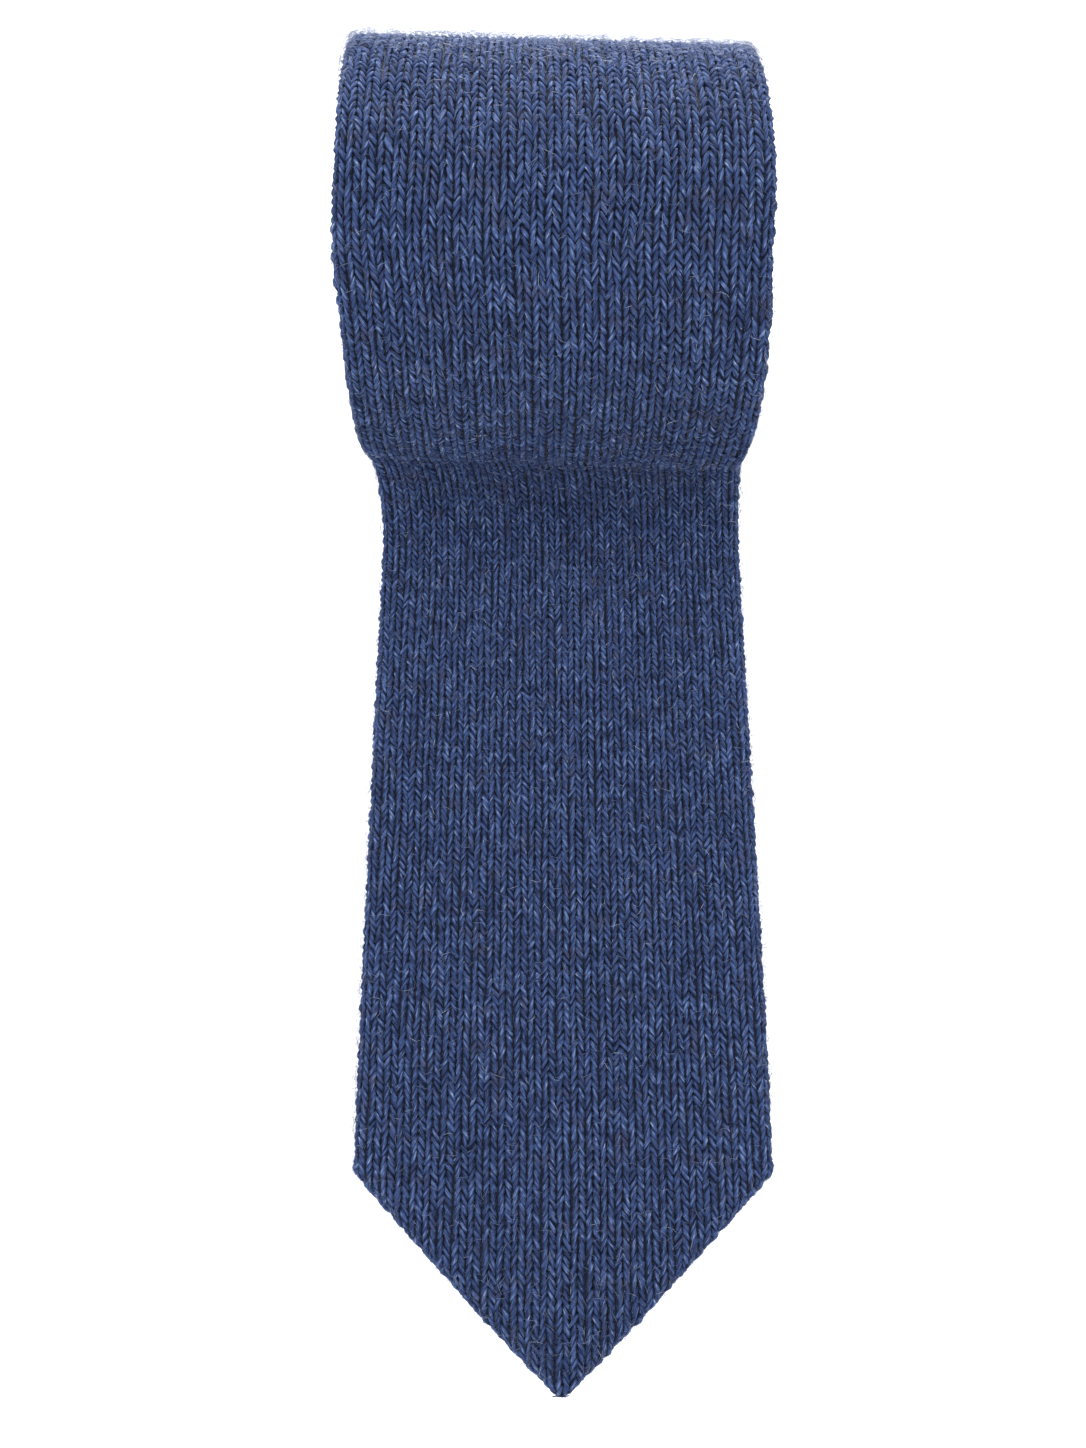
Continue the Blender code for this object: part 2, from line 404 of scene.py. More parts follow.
@dataclass(frozen=True)
class YarnFinish:
    """Carded cashmere yarn in a mixed navy blue, with a soft sheen, painted shade at each leg's ends and
    sides, and painted highlights on its strands.
    """

    name: str = "cashmere_yarn"
    deep: Triple = (0.0042, 0.0068, 0.0240)
    body: Triple = (0.0210, 0.0390, 0.1130)
    light: Triple = (0.0530, 0.0930, 0.2360)
    heather: Triple = (0.0520, 0.0560, 0.1050)
    # glint and fleck: the brightest ply streaks and pale fibres, partly the yarn's own lighter plies,
    # partly painted highlight
    glint: Triple = (0.1500, 0.2200, 0.4050)
    fleck_and_highlight: Triple = (0.4200, 0.4800, 0.6500)
    roughness: float = 0.9
    sheen: float = 0.70
    sheen_roughness: float = 0.12
    sheen_colour: Triple = (0.55, 0.65, 0.90)
    strands: float = 3.8
    strand_turn: float = 0.9
    strand_share: float = 1.35
    fibre_share: float = 0.30
    course_share: float = 0.35
    tone_share: float = 0.27
    darker: float = -0.46
    # The end and rim shares are painted shade where each leg dives between its neighbours.
    end_painted_shade: float = 0.55
    rim_painted_shade: float = 0.34
    bump: float = 0.7
    bump_depth: float = 0.00018

    def make(self) -> bpy.types.Material:
        """Makes the material.

        Returns:
            A material that reads the yarn's own UV map and each leg's tone.
        """
        nodes = Nodes(self.name)
        uv = nodes.add("ShaderNodeUVMap", uv_map="yarn").outputs["UV"]
        split = nodes.add("ShaderNodeSeparateXYZ", {"Vector": uv})
        along, aside = split.outputs["X"], split.outputs["Y"]
        tone = nodes.add("ShaderNodeAttribute", attribute_name="tone").outputs["Fac"]
        strands = self.strand_places(nodes, along, aside, tone)
        strand = nodes.noise(strands, 1.0)
        fibres = nodes.noise(nodes.stretched((2600.0, 1700.0, 2600.0)), 1.0)
        courses = nodes.noise(nodes.stretched((90.0, 620.0, 620.0)))
        patches = nodes.noise(nodes.stretched((210.0, 330.0, 330.0)), 1.0)
        shade = nodes.math("MULTIPLY_ADD", strand, self.strand_share, self.darker)
        shade = nodes.math("MULTIPLY_ADD", fibres, self.fibre_share, shade)
        shade = nodes.math("MULTIPLY_ADD", courses, self.course_share, shade)
        shade = nodes.math("MULTIPLY_ADD", tone, self.tone_share, shade)
        # Painted shade at each leg's ends and sides is taken off the tone here.
        shade = nodes.math("SUBTRACT", shade, self.painted_hollow_shade(nodes, along, aside))
        # The ramp's top stop, glint, is partly the yarn's lighter plies and partly a painted highlight
        # on the strands.
        colour = nodes.ramp(
            shade, (0.10, self.deep), (0.48, self.body), (0.80, self.light), (1.0, self.glint)
        )
        heather = nodes.ramp(patches, (0.56, (0.0, 0.0, 0.0)), (0.72, (0.45, 0.45, 0.45)))
        colour = nodes.mix(heather, colour, self.heather)
        # Pale streaks along the strands, partly the yarn's own pale fibres and partly painted highlight.
        flecks_and_highlights = nodes.ramp(strand, (0.73, (0.0, 0.0, 0.0)), (0.80, (0.9, 0.9, 0.9)))
        colour = nodes.mix(flecks_and_highlights, colour, self.fleck_and_highlight)
        relief = nodes.math("MULTIPLY_ADD", strand, 1.2, fibres)
        return nodes.finish({
            "Base Color": colour,
            "Normal": nodes.bump(relief, self.bump, self.bump_depth),
            "Roughness": self.roughness,
            "Specular IOR Level": 0.25,
            "Sheen Weight": self.sheen,
            "Sheen Roughness": self.sheen_roughness,
            "Sheen Tint": (*self.sheen_colour, 1.0),
        })

    def strand_places(self, nodes: Nodes, along: Socket, aside: Socket, tone: Socket) -> Socket:
        """Stretches a pattern along the twisted strands of each leg.

        Args:
            nodes: The material's nodes.
            along: The place along the leg.
            aside: The place across the leg.
            tone: The leg's tone, which also sets its own part of the pattern.

        Returns:
            The place to read a noise at.
        """
        turned = nodes.math("MULTIPLY_ADD", along, self.strand_turn, nodes.math("MULTIPLY", tone, 97.0))
        across = nodes.math("MULTIPLY_ADD", aside, self.strands, turned)
        ahead = nodes.math("MULTIPLY_ADD", tone, 53.0, nodes.math("MULTIPLY", along, 1.7))
        deep = nodes.math("MULTIPLY", tone, 211.0)
        return nodes.add("ShaderNodeCombineXYZ", {"X": across, "Y": ahead, "Z": deep}).outputs["Vector"]

    def painted_hollow_shade(self, nodes: Nodes, along: Socket, aside: Socket) -> Socket:
        """Paints shade on a leg's ends and sides, where it goes down between its neighbours.

        Args:
            nodes: The material's nodes.
            along: The place along the leg.
            aside: The place across the leg.

        Returns:
            How much painted shade darkens each place.
        """
        dark = 0.0
        for place, power, hollow in ((aside, 3.0, self.rim_painted_shade), (along, 4.0, self.end_painted_shade)):
            off = nodes.math("ABSOLUTE", nodes.math("MULTIPLY_ADD", place, 2.0, -1.0))
            dark = nodes.math("MULTIPLY_ADD", nodes.math("POWER", off, power), hollow, dark)
        return dark


@dataclass(frozen=True)
class ClothFinish:
    """The ground of the knit, which shows between the stitches and on the back, with painted shade in
    its grooves.
    """

    name: str = "cashmere_ground"
    # deep is the painted shade in the grooves, light the ground's ridges.
    deep: Triple = (0.006, 0.009, 0.024)
    light: Triple = (0.024, 0.040, 0.100)
    roughness: float = 0.95

    def make(self) -> bpy.types.Material:
        """Makes the material.

        Returns:
            A material with the wales and courses drawn from the piece's own UV map, darker in their
            grooves as painted shade.
        """
        nodes = Nodes(self.name)
        uv = nodes.add("ShaderNodeUVMap", uv_map="knit").outputs["UV"]
        split = nodes.add("ShaderNodeSeparateXYZ", {"Vector": uv})
        wale = nodes.math("SUBTRACT", nodes.math("FRACT", split.outputs["X"]), 0.5)
        aside = nodes.math("ABSOLUTE", wale)
        rib = nodes.math("SINE", nodes.math("MULTIPLY", aside, 2.0 * math.pi))
        row = nodes.math("FRACT", nodes.math("MULTIPLY_ADD", aside, 1.6, split.outputs["Y"]))
        leg = nodes.math("SINE", nodes.math("MULTIPLY", row, math.pi))
        relief = nodes.math("MULTIPLY", rib, nodes.math("MULTIPLY_ADD", leg, 0.6, 0.4))
        fibres = nodes.noise(nodes.stretched((2400.0, 1600.0, 2400.0)))
        # The colour darkens where the relief dips, in the grooves between wales and legs: painted shade.
        shade = nodes.math("MULTIPLY_ADD", fibres, 0.5, nodes.math("MULTIPLY", relief, 0.6))
        colour = nodes.ramp(shade, (0.25, self.deep), (0.80, self.light))
        height = nodes.math("MULTIPLY_ADD", fibres, 0.25, relief)
        return nodes.finish({
            "Base Color": colour,
            "Normal": nodes.bump(height, 0.8, 0.0005),
            "Roughness": self.roughness,
            "Specular IOR Level": 0.2,
            "Sheen Weight": 0.15,
        })


@dataclass(frozen=True)
class FuzzFinish:
    """Loose cashmere fibres."""

    name: str = "cashmere_fibres"
    dark: Triple = (0.045, 0.070, 0.160)
    pale: Triple = (0.330, 0.390, 0.570)
    white: Triple = (0.820, 0.850, 0.900)
    roughness: float = 0.6

    def make(self) -> bpy.types.Material:
        """Returns a material whose colour follows each fibre's tone."""
        nodes = Nodes(self.name)
        tone = nodes.add("ShaderNodeAttribute", attribute_name="tone").outputs["Fac"]
        # The pale and white stops also carry the crest fibres' painted highlight.
        colour = nodes.ramp(
            tone, (0.0, self.dark), (0.55, self.dark), (0.965, self.pale), (1.0, self.white)
        )
        return nodes.finish(
            {"Base Color": colour, "Roughness": self.roughness, "Specular IOR Level": 0.3}
        )


@dataclass(frozen=True)
class FloorFinish:
    """A pale table whose own glow stands for a light below it."""

    name: str = "pale_floor"
    colour: Triple = (0.90, 0.90, 0.90)
    glow: float = 0.55

    def make(self) -> bpy.types.Material:
        """Returns the floor's material."""
        nodes = Nodes(self.name)
        grain = nodes.noise(nodes.stretched((30.0, 30.0, 30.0)))
        colour = nodes.ramp(grain, (0.0, self.colour), (1.0, tuple(c * 1.01 for c in self.colour)))
        return nodes.finish({
            "Base Color": colour,
            "Roughness": 0.9,
            "Emission Color": (1.0, 1.0, 1.0, 1.0),
            "Emission Strength": self.glow,
        })


def go_to(mode: str) -> None:
    """Switches the active piece to edit or object mode."""
    bpy.ops.object.mode_set(mode=mode)


def select_none(kind: str) -> None:
    """Makes that kind of element the one to select, with none selected, and ends in object mode."""
    go_to("EDIT")
    bpy.ops.mesh.select_mode(type=kind)
    bpy.ops.mesh.select_all(action="DESELECT")
    go_to("OBJECT")


def turn_outwards(piece: Piece) -> None:
    """Points a closed piece's faces outwards."""
    bpy.ops.object.select_all(action="DESELECT")
    piece.select_set(True)
    bpy.context.view_layer.objects.active = piece
    go_to("EDIT")
    bpy.ops.mesh.select_all(action="SELECT")
    bpy.ops.mesh.normals_make_consistent(inside=False)
    go_to("OBJECT")


def grid(*axes: object) -> list[Array]:
    """Returns every combination of the axes' values, as one long array for each axis."""
    return [values.ravel() for values in np.meshgrid(*axes, indexing="ij")]


def tones(chance: np.random.Generator, middle: float, spread: float, count: int) -> Array:
    """Draws the copies' tones, from 0 to 1."""
    return np.clip(chance.normal(middle, spread, count), 0.0, 1.0)


def turned(across: Array, ahead: Array, lean: Array) -> tuple[Array, Array]:
    """Turns each copy's points to the left by its lean, and returns them across and ahead."""
    cos, sin = np.cos(lean)[:, None], np.sin(lean)[:, None]
    return across * cos - ahead * sin, across * sin + ahead * cos


@dataclass
class Grain:
    """One small closed shape, modelled once and then laid many times."""

    points: Array
    loops: Array
    starts: Array

    def lay(self, name: str, places: Array, tone: Array) -> Piece:
        """Joins many laid copies into one piece.

        Args:
            name: The piece's name.
            places: The copies' points, as copies by points by three.
            tone: Each copy's tone.

        Returns:
            The piece, with the yarn's UV map and the tone on it.
        """
        count, size = places.shape[0], len(self.points)
        offsets = size * np.arange(count)[:, None]
        loops = (self.loops[None, :] + offsets).ravel()
        starts = (self.starts[None, :] + len(self.loops) * np.arange(count)[:, None]).ravel()
        mesh = bpy.data.meshes.new(name)
        mesh.vertices.add(count * size)
        mesh.vertices.foreach_set("co", places.astype(np.float32).ravel())
        mesh.loops.add(len(loops))
        mesh.loops.foreach_set("vertex_index", loops.astype(np.int32))
        mesh.polygons.add(len(starts))
        mesh.polygons.foreach_set("loop_start", starts.astype(np.int32))
        mesh.update(calc_edges=True)
        uv = self.points[self.loops][:, [1, 0]] / np.abs(self.points[:, [1, 0]]).max(axis=0)
        layer = mesh.uv_layers.new(name="yarn")
        layer.data.foreach_set("uv", np.tile(0.5 + 0.5 * uv, (count, 1)).astype(np.float32).ravel())
        values = mesh.attributes.new("tone", "FLOAT", "POINT")
        values.data.foreach_set("value", np.repeat(tone, size).astype(np.float32))
        mesh.shade_smooth()
        piece = bpy.data.objects.new(name, mesh)
        bpy.context.collection.objects.link(piece)
        return piece


@dataclass(frozen=True)
class GrainShape:
    """How one grain is modelled: a short rod with tapered ends that dive, along Y.

    rings lists each ring's place along the rod, its size and how far it dips, as shares.
    """

    sides: int
    half_length: float
    half_width: float
    half_height: float
    dip: float
    rings: tuple[Triple, ...]
    end_dip: tuple[float, float] = (1.0, 1.0)

    def model(self) -> Grain:
        """Models the grain from a cylinder.

        Returns:
            The grain's points and faces.
        """
        bpy.ops.object.select_all(action="DESELECT")
        bpy.ops.mesh.primitive_cylinder_add(
            vertices=self.sides, radius=1.0, depth=2.0, end_fill_type="TRIFAN",
            rotation=(math.pi / 2, 0.0, 0.0),
        )
        rod = bpy.context.object
        bpy.ops.object.transform_apply(location=False, rotation=True, scale=False)
        cuts = len(self.rings) - 2
        self.pick_edges(rod)
        if cuts:
            bpy.ops.mesh.subdivide(number_cuts=cuts)
        go_to("OBJECT")
        levels = [-1.0 + 2.0 * i / (cuts + 1) for i in range(cuts + 2)]
        bands = [self.points_at(rod, level, True) for level in levels]
        poles = [self.points_at(rod, level, False) for level in (-1.0, 1.0)]
        for band, level, (place, size, dip) in zip(bands, levels, self.rings):
            self.shape(rod, band, level, place, size, -self.dip * dip)
        for pole, level, end in zip(poles, (-1.0, 1.0), self.end_dip):
            self.shape(rod, pole, level, level, 1.0, -self.dip * end)
        turn_outwards(rod)
        grain = self.read(rod.data)
        bpy.data.objects.remove(rod, do_unlink=True)
        return grain

    def pick_edges(self, rod: Piece) -> None:
        """Selects the rod's long edges and leaves it in edit mode."""
        select_none("EDGE")
        points = rod.data.vertices
        for edge in rod.data.edges:
            first, second = (points[i].co for i in edge.vertices)
            edge.select = abs(first.y - second.y) > 1.0
        go_to("EDIT")

    def points_at(self, rod: Piece, level: float, on_rim: bool) -> list[int]:
        """Returns the points at a level along the rod, those of its rim or that in its middle."""
        return [
            point.index for point in rod.data.vertices
            if abs(point.co.y - level) < 0.01 and (math.hypot(point.co.x, point.co.z) > 0.5) == on_rim
        ]

    def shape(
        self, rod: Piece, band: list[int], level: float, place: float, size: float, rise: float
    ) -> None:
        """Sizes one ring and moves it to its place.

        Args:
            rod: The rod.
            band: The ring's points, or the one point in the middle of an end.
            level: Where the ring is along the rod.
            place: Where it goes, as a share of half the length.
            size: Its size, as a share of the rod's.
            rise: How far it is lifted.
        """
        select_none("VERT")
        for index in band:
            rod.data.vertices[index].select = True
        go_to("EDIT")
        scale = (size * self.half_width, 1.0, size * self.half_height)
        bpy.ops.transform.resize(value=scale, center_override=(0.0, level, 0.0))
        bpy.ops.transform.translate(value=(0.0, place * self.half_length - level, rise))
        go_to("OBJECT")

    def read(self, mesh: bpy.types.Mesh) -> Grain:
        """Reads a mesh into a grain."""
        points = np.array([tuple(point.co) for point in mesh.vertices])
        loops = np.array([loop.vertex_index for loop in mesh.loops])
        starts = np.array([face.loop_start for face in mesh.polygons])
        return Grain(points, loops, starts)


def laid(grain: Grain, knit: Knit, along: Array, run: Array, height: Array,
         lean: Array, scale: Array, slant: Array | float = 0.0) -> Array:
    """Lays copies of a grain on the cloth.

    Args:
        grain: The grain.
        knit: The knit that it lies on.
        along: Each copy's distance round the strip.
        run: Each copy's distance from the tip.
        height: Each copy's height over the solid's skin.
        lean: Each copy's turn on the cloth, to the left.
        scale: Each copy's width, length and height against the grain's.
        slant: How far each copy's rings slope back across it, so that its ends lie along the wale.

    Returns:
        The copies' points in space.
    """
    points = grain.points[None, :, :] * scale[:, None, :]
    points[..., 1] += points[..., 0] * np.broadcast_to(slant, run.shape)[:, None]
    aside, ahead = turned(points[..., 0], points[..., 1], lean)
    return knit.surface(
        along[:, None] + aside, np.maximum(run[:, None] + ahead, 0.0), height[:, None] + points[..., 2]
    )


@dataclass
class Stitches:
    """The legs of the stitches on the face and round the edges."""

    knit: Knit
    leg: GrainShape = GrainShape(
        sides=5, half_length=0.00142, half_width=0.00044, half_height=0.00052, dip=0.00062,
        rings=((-0.74, 0.84, 0.34), (-0.28, 1.0, 0.04), (0.30, 1.0, 0.0), (0.76, 0.82, 0.26)),
        end_dip=(1.5, 1.3),
    )
    small_leg: GrainShape = GrainShape(
        sides=4, half_length=0.00144, half_width=0.00047, half_height=0.00052, dip=0.00060,
        rings=((-0.70, 0.82, 0.34), (0.05, 1.05, 0.0), (0.74, 0.80, 0.28)),
        end_dip=(1.5, 1.3),
    )
    wales_each_side: int = 16
    leg_offset: float = 0.248
    left_lean: float = math.radians(-27.0)
    right_lean: float = math.radians(31.0)
    slant: float = 0.62
    modelled_pitch: float = 0.00278
    rib_wale: float = 1.2
    rib_wales: float = 2.4
    rib_draw: float = 0.014
    rib_rise: float = 0.00010
    point_run: float = 0.041
    point_blend: float = 0.002
    lobe_rise: float = 0.00038
    swell_rise: float = 0.00014
    roll_run: float = 0.19
    seat: float = -0.00044
    furthest_turn: float = math.radians(118.0)
    back_turn: float = math.radians(150.0)

    def wander(self, chance: np.random.Generator) -> Array:
        """Draws the slow waves by which each wale strays from its line."""
        return chance.uniform(0.0, 2.0 * math.pi, (2 * self.wales_each_side + 1, 3))

    def make(self, stretch: Stretch, grain: Grain, waves: Array, seed: int) -> Piece:
        """Makes the stitches of one stretch.

        Args:
            stretch: The stretch of the tie.
            grain: The leg's shape.
            waves: How the wales stray.
            seed: The seed of the small differences between the legs.

        Returns:
            The piece.
        """
        chance = np.random.default_rng(seed)
        start, end = stretch.value
        knit = self.knit
        rows = np.arange(math.ceil(start / knit.course), math.ceil(end / knit.course))
        wales = np.arange(-self.wales_each_side, self.wales_each_side + 1)
        wale, row, side = grid(wales, rows, (-1, 1))
        count = len(wale)
        run = (row + 0.5) * knit.course + chance.normal(0.0, 0.00009, count)
        run = run + 0.00012 * np.sin(wale * 1.7)
        pitch = knit.wale_pitch(run)
        phases = waves[wale + self.wales_each_side]
        stray = 0.035 * np.sin(run * 95.0 + phases[:, 0]) + 0.03 * np.sin(run * 230.0 + phases[:, 1])
        rib = np.exp(-((wale - self.rib_wale) / self.rib_wales) ** 2)
        drawn_in = 0.012 * np.sin(run * 140.0 + phases[:, 2]) - self.rib_draw * rib
        offset = side * (self.leg_offset + drawn_in) + chance.normal(0.0, 0.018, count)
        along = (wale + stray + offset) * pitch
        lean = np.where(side < 0, self.left_lean, self.right_lean) + chance.normal(0.0, 0.10, count)
        scale = np.stack((
            pitch / self.modelled_pitch * chance.normal(1.0, 0.10, count),
            chance.normal(1.0, 0.08, count),
            chance.normal(1.0, 0.12, count),
        ), axis=-1)
        turn = knit.edge_turn(along, run)
        swell = np.sin(run * 2.0 * math.pi / 0.0031 + phases[:, 2]) * np.sin(run * 700.0 + wale)
        at_point = np.clip((self.point_run - run) / self.point_blend, 0.0, 1.0)
        lobes = np.abs(np.sin(math.pi * knit.section(run)[0] / pitch)) - 0.6
        swell = (1.0 - at_point) * self.swell_rise * swell + at_point * self.lobe_rise * lobes
        height = self.seat + chance.normal(0.0, 0.00007, count) + swell * np.sin(turn)
        height = height + self.rib_rise * rib
        limit = np.where(run > self.roll_run, self.back_turn, self.furthest_turn)
        keep = (turn < limit) & (run > 0.0006)
        tone = tones(chance, 0.5, 0.25, count)
        slant = self.slant / np.tan(lean)
        places = laid(
            grain, knit, along[keep], run[keep], height[keep], lean[keep], scale[keep], slant[keep]
        )
        return grain.lay(f"stitches_{stretch.name.lower()}", places, tone[keep])


@dataclass
class CoilEdges:
    """The stitches on the edges of the turns, which show at the ends of the roll."""

    knit: Knit
    leg: GrainShape = GrainShape(
        sides=4, half_length=0.00165, half_width=0.00062, half_height=0.00045, dip=0.00045,
        rings=((-0.45, 0.9, 0.25), (0.45, 0.9, 0.25)), end_dip=(1.2, 1.0),
    )
    start: float = 0.440
    legs_round: int = 4
    first_turn: float = math.radians(34.0)
    last_turn: float = math.radians(146.0)
    seat: float = -0.00040

    def make(self, grain: Grain) -> Piece:
        """Makes the edges' stitches.

        Args:
            grain: The leg's shape.

        Returns:
            The piece.
        """
        chance = np.random.default_rng(41)
        knit = self.knit
        end = knit.sizes.length - 0.002
        rows = np.arange(math.ceil(self.start / knit.course), int(end / knit.course))
        places = np.arange(self.legs_round)
        row, place, side = grid(rows, places, (-1, 1))
        count = len(row)
        run = (row + 0.5) * knit.course + chance.normal(0.0, 0.0001, count)
        flat, _, _, arc = knit.section(run)
        turn = self.first_turn + (self.last_turn - self.first_turn) * place / (self.legs_round - 1)
        along = side * (flat + arc * turn) + chance.normal(0.0, 0.00005, count)
        lean = np.where(place % 2 == 0, -0.25, 0.32) * side + chance.normal(0.0, 0.08, count)
        scale = chance.normal(1.0, 0.07, (count, 3))
        height = self.seat + chance.normal(0.0, 0.00005, count)
        tone = tones(chance, 0.5, 0.22, count)
        points = laid(grain, knit, along, run, height, lean, scale)
        return grain.lay("stitches_coil_edges", points, tone)


@dataclass
class PointBinding:
    """The turned edge along the two slanting sides of the point."""

    knit: Knit
    leg: GrainShape = GrainShape(
        sides=5, half_length=0.0013, half_width=0.00046, half_height=0.00046, dip=0.00050,
        rings=((-0.70, 0.75, 0.4), (-0.25, 1.0, 0.05), (0.25, 1.0, 0.05), (0.70, 0.75, 0.4)),
    )
    spacing: float = 0.0013
    rows: tuple[float, ...] = (math.radians(64.0), math.radians(92.0), math.radians(116.0))
    seat: float = -0.00040
    lobe_rise: float = 0.00055
    tip_drop: float = 0.0005
    tip_length: float = 0.004
    last_run: float = 0.0395

    def make(self, grain: Grain) -> Piece:
        """Makes the binding.

        Args:
            grain: The strand's shape.

        Returns:
            The piece.
        """
        chance = np.random.default_rng(17)
        knit = self.knit
        step = self.spacing * math.cos(0.5 * knit.sizes.point_angle)
        runs = np.arange(0.0008, self.last_run, step)
        run, turn, side = grid(runs, self.rows, (-1, 1))
        count = len(run)
        run = run + chance.normal(0.0, 0.0003, count)
        flat, _, _, arc = knit.section(run)
        ahead = knit.section(run + 0.001)[0]
        behind = knit.section(np.maximum(run - 0.001, 0.0001))[0]
        slope = np.arctan2(ahead - behind, 0.002)
        along = side * (flat + arc * turn)
        lean = -0.35 * side * slope + chance.normal(0.0, 0.40, count)
        scale = chance.normal(1.0, 0.12, (count, 3))
        lobes = np.abs(np.sin(math.pi * flat / knit.wale_pitch(run)))
        height = self.seat + self.lobe_rise * lobes - self.tip_drop * np.exp(-run / self.tip_length)
        height = height + chance.normal(0.0, 0.00006, count)
        tone = tones(chance, 0.6, 0.2, count)
        points = laid(grain, knit, along, run, height, lean, scale)
        return grain.lay("point_binding", points, tone)


@dataclass
class Cloth:
    """The strip itself, two layers with an open seam down the middle of its back."""

    knit: Knit
    ground_drop: float = 0.00075
    drop_limit: float = 0.45
    drop_end: float = math.radians(160.0)
    drop_fade: float = 0.6
    face_parts: int = 8
    edge_parts: int = 8
    back_parts: int = 3
    flat_step: float = 0.002
    coil_step: float = math.radians(9.0)

    def runs(self) -> Array:
        """Returns the distances from the tip at which the strip has a section."""
        sizes, route = self.knit.sizes, self.knit.route
        tip = np.array([0.0001, 0.0003, 0.0006, 0.0010, 0.0016])
        flat = np.arange(0.0024, sizes.flat_length, self.flat_step)
        foot = sizes.flat_length + route.foot * np.arange(0.0, route.leave_angle, math.radians(6.0))
        eye = sizes.eye_radius + 0.5 * sizes.thickness
        whole = 2.0 * math.pi * (route.leave_radius - eye) / sizes.turn_pitch
        swept = np.arange(0.0, whole, self.coil_step)
        radius = route.leave_radius - sizes.turn_pitch * swept / (2.0 * math.pi)
        coil = route.coil_start + 0.5 * (route.leave_radius + radius) * swept
        tail = sizes.length - np.array([0.0016, 0.0008, 0.0003])
        return np.concatenate((tip, flat, foot, coil[coil < sizes.length - 0.0022], tail))

    def loop(self, run: float) -> tuple[Array, Array, Array]:
        """One section of the strip.

        Args:
            run: The section's distance from the tip.

        Returns:
            The points across and out from the middle line, and each one's distance round the
            strip from the middle of its face.
        """
        sizes = self.knit.sizes
        flat, edge, skin, arc = (float(v) for v in self.knit.section(np.array(run)))
        half = flat + edge
        air = 0.5 * sizes.layer_air * skin / (0.5 * sizes.thickness)
        hollow = max(half - sizes.layer, sizes.hollow_limit * half)
        lip = min(0.5 * sizes.seam_opening, 0.5 * hollow)
        face = np.linspace(0.0, flat, self.face_parts // 2 + 1)
        turn = np.linspace(0.0, math.pi, self.edge_parts + 1)[1:]
        drop = self.ground_drop * np.clip((self.drop_end - turn) / self.drop_fade, 0.0, 1.0)
        drop = np.minimum(drop, self.drop_limit * edge)
        face_drop = min(self.ground_drop, self.drop_limit * skin)
        back = np.linspace(flat, lip, self.back_parts + 1)[1:]
        across = np.concatenate((face, flat + (edge - drop) * np.sin(turn), back))
        out = np.concatenate((
            np.full(len(face), skin - face_drop), (skin - drop) * np.cos(turn), np.full(len(back), -skin)
        ))
        around = np.concatenate((face, flat + arc * turn, flat + arc * math.pi + flat - back))
        inner = np.array([[lip, -air], [hollow, -air], [hollow, air]])
        right = np.concatenate((np.stack((across, out), axis=-1), inner))
        far = around[-1]
        around = np.concatenate((around, (far, far - lip, far - hollow)))
        left = right[:0:-1] * (-1.0, 1.0)
        points = np.concatenate((right, left))
        return points[:, 0], points[:, 1], np.concatenate((around, -around[:0:-1]))

    def make(self) -> Piece:
        """Makes the strip.

        Returns:
            The piece, with the knit's UV map on it.
        """
        runs = self.runs()
        loops = [self.loop(float(run)) for run in runs]
        size = len(loops[0][0])
        across = np.stack([loop[0] for loop in loops])
        out = np.stack([loop[1] for loop in loops])
        around = np.stack([loop[2] for loop in loops])
        run = np.repeat(runs[:, None], size, axis=1)
        points = self.knit.route.place(run, across, out).reshape(-1, 3)
        faces, places = [], []
        knit_u = around / self.knit.wale_pitch(run)
        knit_v = run / self.knit.course
        for i in range(len(runs) - 1):
            for j in range(size):
                k = (j + 1) % size
                corners = ((i, j), (i, k), (i + 1, k), (i + 1, j))
                faces.append([a * size + b for a, b in corners])
                places.extend((knit_u[a, b], knit_v[a, b]) for a, b in corners)
        for i, ring in ((0, range(size)), (len(runs) - 1, range(size - 1, -1, -1))):
            faces.append([i * size + j for j in reversed(ring)])
            places.extend((knit_u[i, j], knit_v[i, j]) for j in reversed(ring))
        mesh = bpy.data.meshes.new("cloth")
        mesh.from_pydata(points.tolist(), [], faces)
        layer = mesh.uv_layers.new(name="knit")
        layer.data.foreach_set("uv", np.array(places, dtype=np.float32).ravel())
        mesh.shade_smooth()
        piece = bpy.data.objects.new("cloth", mesh)
        bpy.context.collection.objects.link(piece)
        turn_outwards(piece)
        bpy.ops.object.shade_smooth_by_angle(angle=math.radians(50.0))
        return piece


